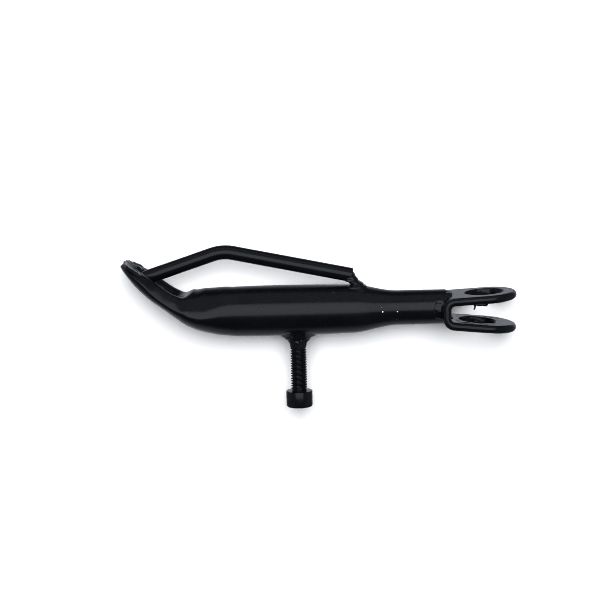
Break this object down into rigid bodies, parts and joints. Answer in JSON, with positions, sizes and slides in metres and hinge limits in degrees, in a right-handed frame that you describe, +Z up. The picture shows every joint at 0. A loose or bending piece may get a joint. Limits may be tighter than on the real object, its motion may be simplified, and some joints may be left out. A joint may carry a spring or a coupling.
{
  "type": "motorcycle kickstand leg",
  "caption": "Welded side-stand leg with a U pivot clevis, a swaged tube, a dished upturned toe under a bent round brace, and a screw peg.",
  "frame": {"origin": "middle of the pivot bore, half way between the two ears of the clevis", "axes": "+Y along the pivot bore, towards the brace's side of the leg; +X towards the tips of the ears, with the leg running towards -X; +Z up when the leg lies on its side"},
  "size_m": [0.1969, 0.0821, 0.03],
  "materials": {
    "frame_paint": "satin black paint on steel",
    "screw_paint": "satin black paint over a blackened socket-head screw",
    "bead_paint": "satin black paint over rippled weld beads"
  },
  "bodies": {
    "root": {"leg_tube": "frame_paint", "clevis_bracket": "frame_paint", "brace_rod": "frame_paint", "peg_screw": "screw_paint", "clevis_weld": "bead_paint", "peg_weld": "bead_paint", "brace_heel_weld": "bead_paint", "brace_toe_weld": "bead_paint", "toe_seam_weld": "bead_paint"}
  },
  "joints": []
}
